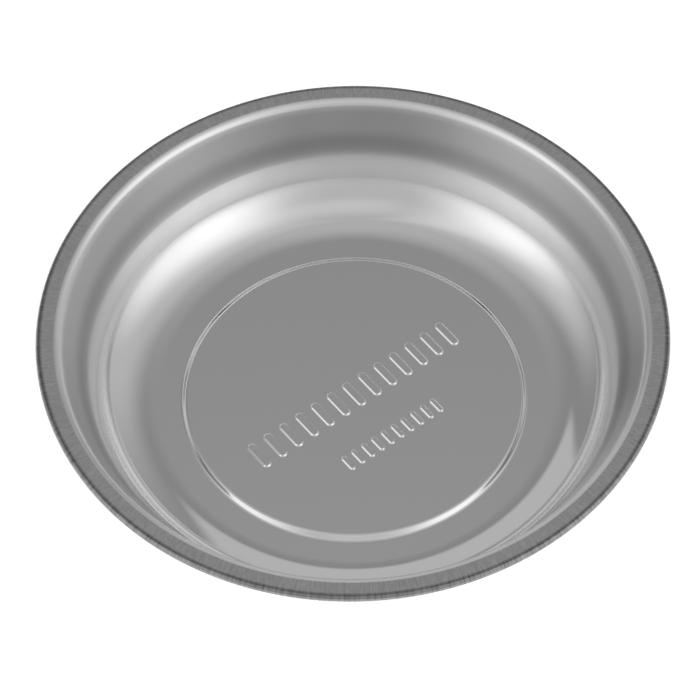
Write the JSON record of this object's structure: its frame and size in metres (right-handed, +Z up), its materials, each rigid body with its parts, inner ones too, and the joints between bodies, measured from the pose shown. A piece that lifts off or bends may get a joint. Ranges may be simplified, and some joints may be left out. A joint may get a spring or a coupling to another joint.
{
  "type": "magnetic parts tray",
  "caption": "Round stepped steel dish with a flanged, rolled rim, standing on a rubber-booted ring magnet that holds small steel parts.",
  "frame": {"origin": "centre of the boot's underside, on the surface that the tray stands on", "axes": "+Z up along the tray's axis, +X along the two rows of ribs in the floor"},
  "size_m": [0.15, 0.15, 0.0399],
  "materials": {
    "polished_steel": "polished inside and out, with a satin rim",
    "ferrite": "sintered and ground",
    "black_rubber": "moulded matt",
    "adhesive": "cured, semi-gloss"
  },
  "bodies": {
    "root": {"dish": "polished_steel", "ring_magnet": "ferrite", "magnet_boot": "black_rubber", "magnet_adhesive": "adhesive", "boot_adhesive": "adhesive", "magnet_bed_adhesive": "adhesive"}
  },
  "joints": []
}
